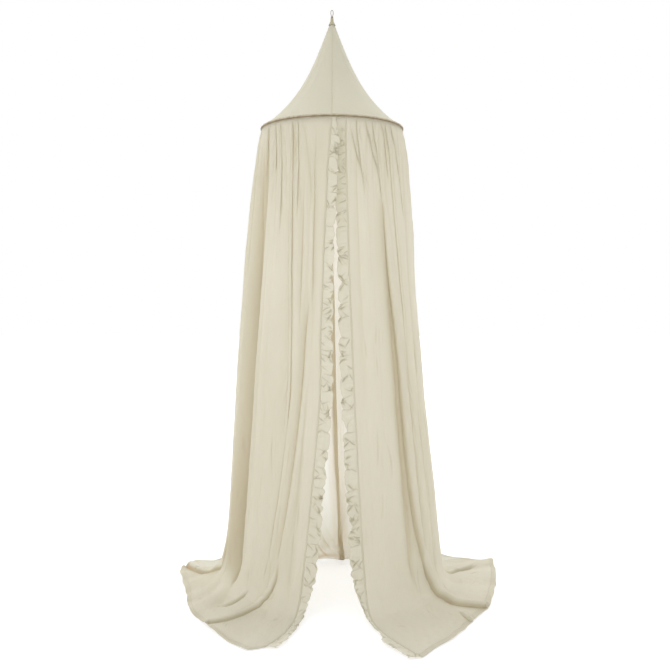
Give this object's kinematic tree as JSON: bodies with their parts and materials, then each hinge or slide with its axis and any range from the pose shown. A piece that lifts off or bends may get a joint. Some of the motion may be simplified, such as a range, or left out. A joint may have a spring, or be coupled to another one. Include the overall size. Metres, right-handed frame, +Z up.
{
  "type": "hanging bed canopy",
  "caption": "Hanging cloth bed canopy: pointed crown over a hoop, long gathered skirt that trails on the floor and opens at the front between ruffled edges.",
  "frame": {"origin": "seat of the ceiling hook, at the inner top of the hanging loop, 2010 mm above the floor that the skirt trails on", "axes": "+Z up along the crown's axis, -Y towards the front opening, +X to the right as seen from the front"},
  "size_m": [1.1778, 1.5453, 2.0125],
  "materials": {
    "cloth": "light olive beige crinkled cotton",
    "casing_cloth": "darker beige cotton strip",
    "cord": "thin cotton cord",
    "rod": "smooth",
    "ferrule": "plain"
  },
  "bodies": {
    "hanger": {"hanging_loop": "cord", "neck_knot": "cord", "stopper_knot": "cord"},
    "canopy": {"crown_cap": "cloth", "crown_gore_front_left": "cloth", "crown_gore_back_left": "cloth", "crown_gore_back_right": "cloth", "crown_gore_front_right": "cloth", "crown_seam_front": "cloth", "crown_seam_left": "cloth", "crown_seam_back": "cloth", "crown_seam_right": "cloth", "hoop_segment_1": "rod", "hoop_segment_2": "rod", "hoop_segment_3": "rod", "hoop_ferrule_1": "ferrule", "hoop_ferrule_2": "ferrule", "hoop_ferrule_3": "ferrule", "hoop_casing": "casing_cloth", "heading_tape": "casing_cloth", "skirt_back": "cloth", "hem_back": "cloth", "skirt_seam_left": "cloth", "skirt_seam_right": "cloth"},
    "left_leaf": {"skirt_left_leaf": "cloth", "hem_left_leaf": "cloth", "binding_left": "cloth", "ruffle_left": "cloth"},
    "right_leaf": {"skirt_right_leaf": "cloth", "hem_right_leaf": "cloth", "binding_right": "cloth", "ruffle_right": "cloth"}
  },
  "joints": [
    {"name": "canopy_turn", "type": "hinge", "parent": "hanger", "child": "canopy", "pos_m": [0, 0, 0], "axis": [0, 0, 1], "range_deg": [-180, 180]},
    {"name": "left_leaf_draw", "type": "hinge", "parent": "canopy", "child": "left_leaf", "pos_m": [0, 0, -0.42], "axis": [0, 0, -1], "range_deg": [0, 45], "stiffness_Nm_per_rad": 0.6, "deforming": ["skirt_left_leaf", "hem_left_leaf", "binding_left", "ruffle_left"]},
    {"name": "right_leaf_draw", "type": "hinge", "parent": "canopy", "child": "right_leaf", "pos_m": [0, 0, -0.42], "axis": [0, 0, 1], "range_deg": [0, 45], "stiffness_Nm_per_rad": 0.6, "deforming": ["skirt_right_leaf", "hem_right_leaf", "binding_right", "ruffle_right"]}
  ]
}
